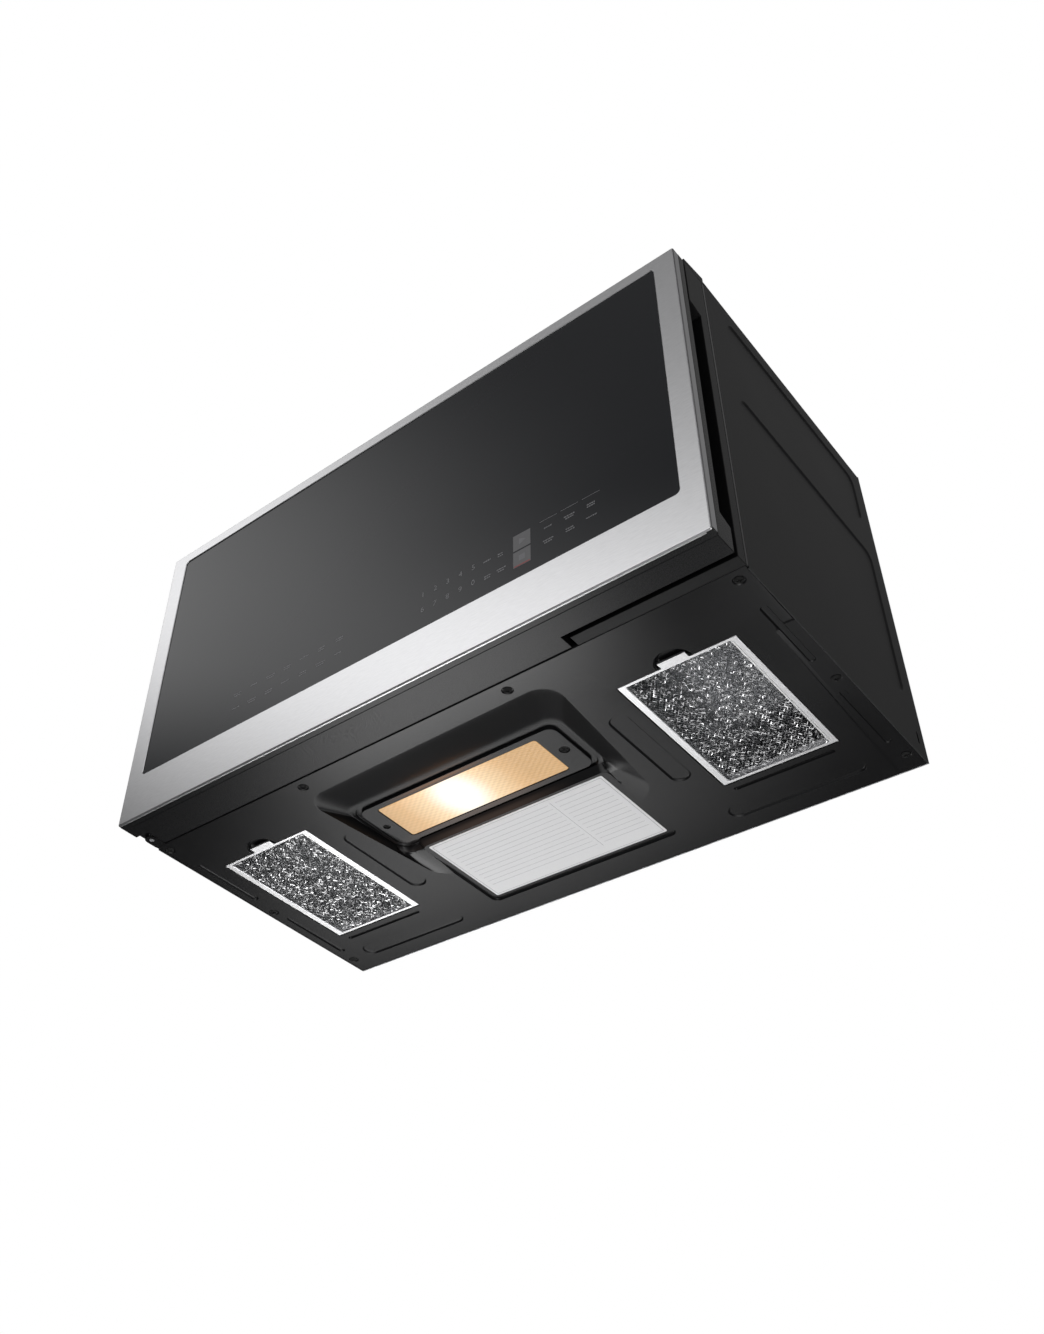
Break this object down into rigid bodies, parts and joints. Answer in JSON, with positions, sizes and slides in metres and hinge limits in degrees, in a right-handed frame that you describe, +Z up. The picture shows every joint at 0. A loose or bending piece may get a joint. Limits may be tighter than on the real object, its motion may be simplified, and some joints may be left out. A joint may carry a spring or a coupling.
{
  "type": "over the range microwave",
  "caption": "Wall-hung microwave oven with a full-width glass door, finger pocket, turntable, exhaust blower, grease filters and cooktop lamp.",
  "frame": {"origin": "middle of the flat rear face that hangs against the wall", "axes": "+X to the right seen from the front, +Y back into the wall, +Z up; the door faces -Y"},
  "size_m": [0.759, 0.415, 0.4292],
  "materials": {
    "stainless": "horizontal brushed stainless steel",
    "door_glass": "dark tinted glossy glass",
    "clear_glass": "clear glass",
    "amber_glass": "ribbed lamp glass with a warm glow behind it",
    "black_paint": "satin charcoal paint on sheet steel",
    "black_plastic": "fine-grained black moulding",
    "grey_enamel": "smooth grey oven enamel",
    "zinc_sheet": "plain galvanised sheet",
    "bright_aluminium": "bright aluminium frame and expanded mesh",
    "white_plastic": "plain white moulding",
    "copper_winding": "lacquered copper winding on a steel core",
    "green_board": "green circuit board",
    "mica": "pressed mica sheet",
    "carbon": "pleated charcoal filter medium"
  },
  "bodies": {
    "cabinet": {"outer_case": "black_paint", "back_plate": "zinc_sheet", "front_frame": "black_paint", "bay_front_panel": "black_plastic", "top_vent_grille": "black_plastic", "charcoal_filter": "carbon", "cord_grommet": "black_plastic", "hinge_plate_lower": "black_paint", "hinge_plate_upper": "black_paint", "hinge_pin_lower": "zinc_sheet", "hinge_pin_upper": "zinc_sheet", "base_plate": "black_paint", "lamp_cover_plate": "black_paint", "lamp_lens": "amber_glass", "lamp_reflector": "bright_aluminium", "lamp_bulb": "clear_glass", "oven_cavity": "grey_enamel", "turntable_motor": "zinc_sheet", "waveguide": "zinc_sheet", "waveguide_cover": "mica", "magnetron": "zinc_sheet", "machine_deck": "zinc_sheet", "high_voltage_transformer": "copper_winding", "high_voltage_capacitor": "bright_aluminium", "control_board": "green_board", "interlock_bracket": "white_plastic", "interlock_switch_lower": "black_plastic", "interlock_switch_upper": "black_plastic", "cavity_lamp": "bright_aluminium", "cooling_fan_shroud": "zinc_sheet", "cooling_fan_motor": "zinc_sheet", "blower_housing": "zinc_sheet", "blower_motor": "zinc_sheet"},
    "door": {"door_trim": "stainless", "door_glass": "door_glass", "door_body": "black_plastic", "door_inner_panel": "black_paint", "door_screen": "black_paint", "door_inner_window": "clear_glass", "touch_board": "green_board", "hinge_bush_lower": "white_plastic", "hinge_bush_upper": "white_plastic", "latch_spring": "zinc_sheet"},
    "latch": {"latch_bar": "white_plastic"},
    "turntable": {"turntable_tray": "clear_glass", "turntable_coupler": "white_plastic"},
    "ring": {"roller_ring": "white_plastic"},
    "roller_1": {"ring_roller_1": "white_plastic"},
    "roller_2": {"ring_roller_2": "white_plastic"},
    "roller_3": {"ring_roller_3": "white_plastic"},
    "filter_left": {"grease_filter_frame_left": "bright_aluminium", "grease_filter_mesh_left": "bright_aluminium"},
    "filter_right": {"grease_filter_frame_right": "bright_aluminium", "grease_filter_mesh_right": "bright_aluminium"},
    "blower_rotor": {"blower_shaft": "zinc_sheet", "blower_wheel_left": "black_plastic", "blower_wheel_right": "black_plastic"},
    "cooling_fan": {"cooling_fan_wheel": "black_plastic"}
  },
  "joints": [
    {"name": "door_swing", "type": "hinge", "parent": "cabinet", "child": "door", "pos_m": [-0.3705, -0.372, 0], "axis": [0, 0, -1], "range_deg": [0, 105]},
    {"name": "latch_lift", "type": "slide", "parent": "door", "child": "latch", "axis": [0, 0, 1], "range_m": [0, 0.005], "stiffness_N_per_m": 250, "springref_m": -0.008, "deforming": ["latch_spring"]},
    {"name": "turntable_spin", "type": "hinge", "parent": "cabinet", "child": "turntable", "pos_m": [-0.096, -0.1845, -0.13475], "axis": [0, 0, 1], "continuous": true},
    {"name": "ring_spin", "type": "hinge", "parent": "cabinet", "child": "ring", "pos_m": [-0.096, -0.1845, -0.14245], "axis": [0, 0, 1], "continuous": true},
    {"name": "roller_1_spin", "type": "hinge", "parent": "ring", "child": "roller_1", "pos_m": [0.02, -0.1845, -0.14245], "axis": [1, 0, 0], "continuous": true},
    {"name": "roller_2_spin", "type": "hinge", "parent": "ring", "child": "roller_2", "pos_m": [-0.154, -0.08404, -0.14245], "axis": [-0.5, 0.866, 0], "continuous": true},
    {"name": "roller_3_spin", "type": "hinge", "parent": "ring", "child": "roller_3", "pos_m": [-0.154, -0.28496, -0.14245], "axis": [-0.5, -0.866, 0], "continuous": true},
    {"name": "filter_left_drop", "type": "slide", "parent": "cabinet", "child": "filter_left", "axis": [0, 0, -1], "range_m": [0, 0.06]},
    {"name": "filter_right_drop", "type": "slide", "parent": "cabinet", "child": "filter_right", "axis": [0, 0, -1], "range_m": [0, 0.06]},
    {"name": "blower_spin", "type": "hinge", "parent": "cabinet", "child": "blower_rotor", "pos_m": [0, -0.077, 0.16365], "axis": [1, 0, 0], "continuous": true},
    {"name": "cooling_fan_spin", "type": "hinge", "parent": "cabinet", "child": "cooling_fan", "pos_m": [0.285, -0.049, 0.01225], "axis": [0, 1, 0], "continuous": true}
  ],
  "couplings": [
    {"joint": "ring_spin", "follows": "turntable_spin", "ratio": 0.5},
    {"joint": "roller_1_spin", "follows": "turntable_spin", "ratio": -7.25},
    {"joint": "roller_2_spin", "follows": "turntable_spin", "ratio": -7.25},
    {"joint": "roller_3_spin", "follows": "turntable_spin", "ratio": -7.25}
  ]
}
